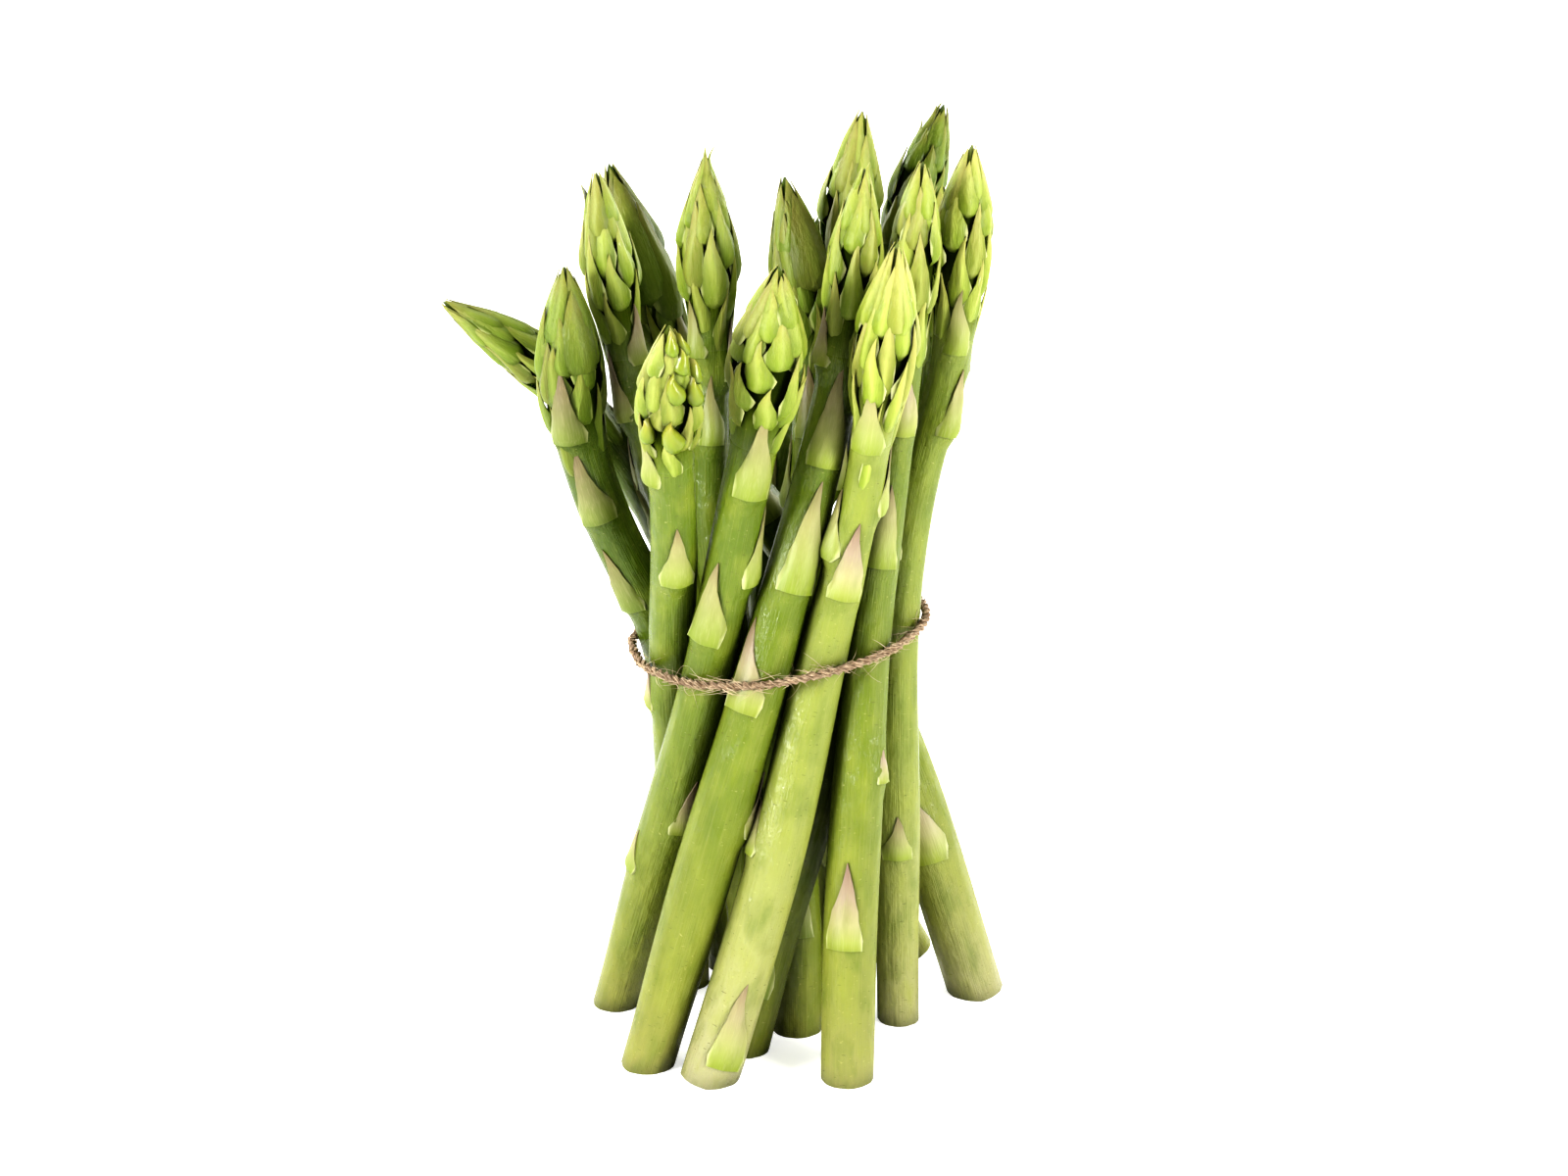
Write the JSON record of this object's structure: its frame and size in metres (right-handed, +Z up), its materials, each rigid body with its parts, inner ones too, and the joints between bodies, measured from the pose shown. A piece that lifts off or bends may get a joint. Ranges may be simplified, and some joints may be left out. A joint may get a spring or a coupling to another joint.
{
  "type": "bundle of asparagus",
  "caption": "Tied bundle of fresh green asparagus spears standing on its cut ends, crossing at the waist under one turn of jute twine, heads fanned out above",
  "frame": {"origin": "Middle of the bundle's footprint box, on the surface it stands on", "axes": "+Z up along the spears from cut ends to tips, +X to the right seen from the front, where the stoutest cut ends are, and -Y towards the viewer at the front"},
  "size_m": [0.134, 0.087, 0.2221],
  "materials": {
    "spear_skin": "smooth waxy green skin",
    "jute": "twisted, hairy"
  },
  "bodies": {
    "root": {"spear_front_left": "spear_skin", "spear_front_centre": "spear_skin", "spear_front_middle": "spear_skin", "spear_front_right": "spear_skin", "spear_right": "spear_skin", "spear_outer_right": "spear_skin", "spear_back_right": "spear_skin", "spear_middle": "spear_skin", "spear_middle_back": "spear_skin", "spear_middle_left": "spear_skin", "spear_short_left": "spear_skin", "spear_left": "spear_skin", "spear_back_left": "spear_skin", "spear_crossing_left": "spear_skin", "spear_outer_left": "spear_skin", "spear_back": "spear_skin", "twine": "jute"}
  },
  "joints": []
}
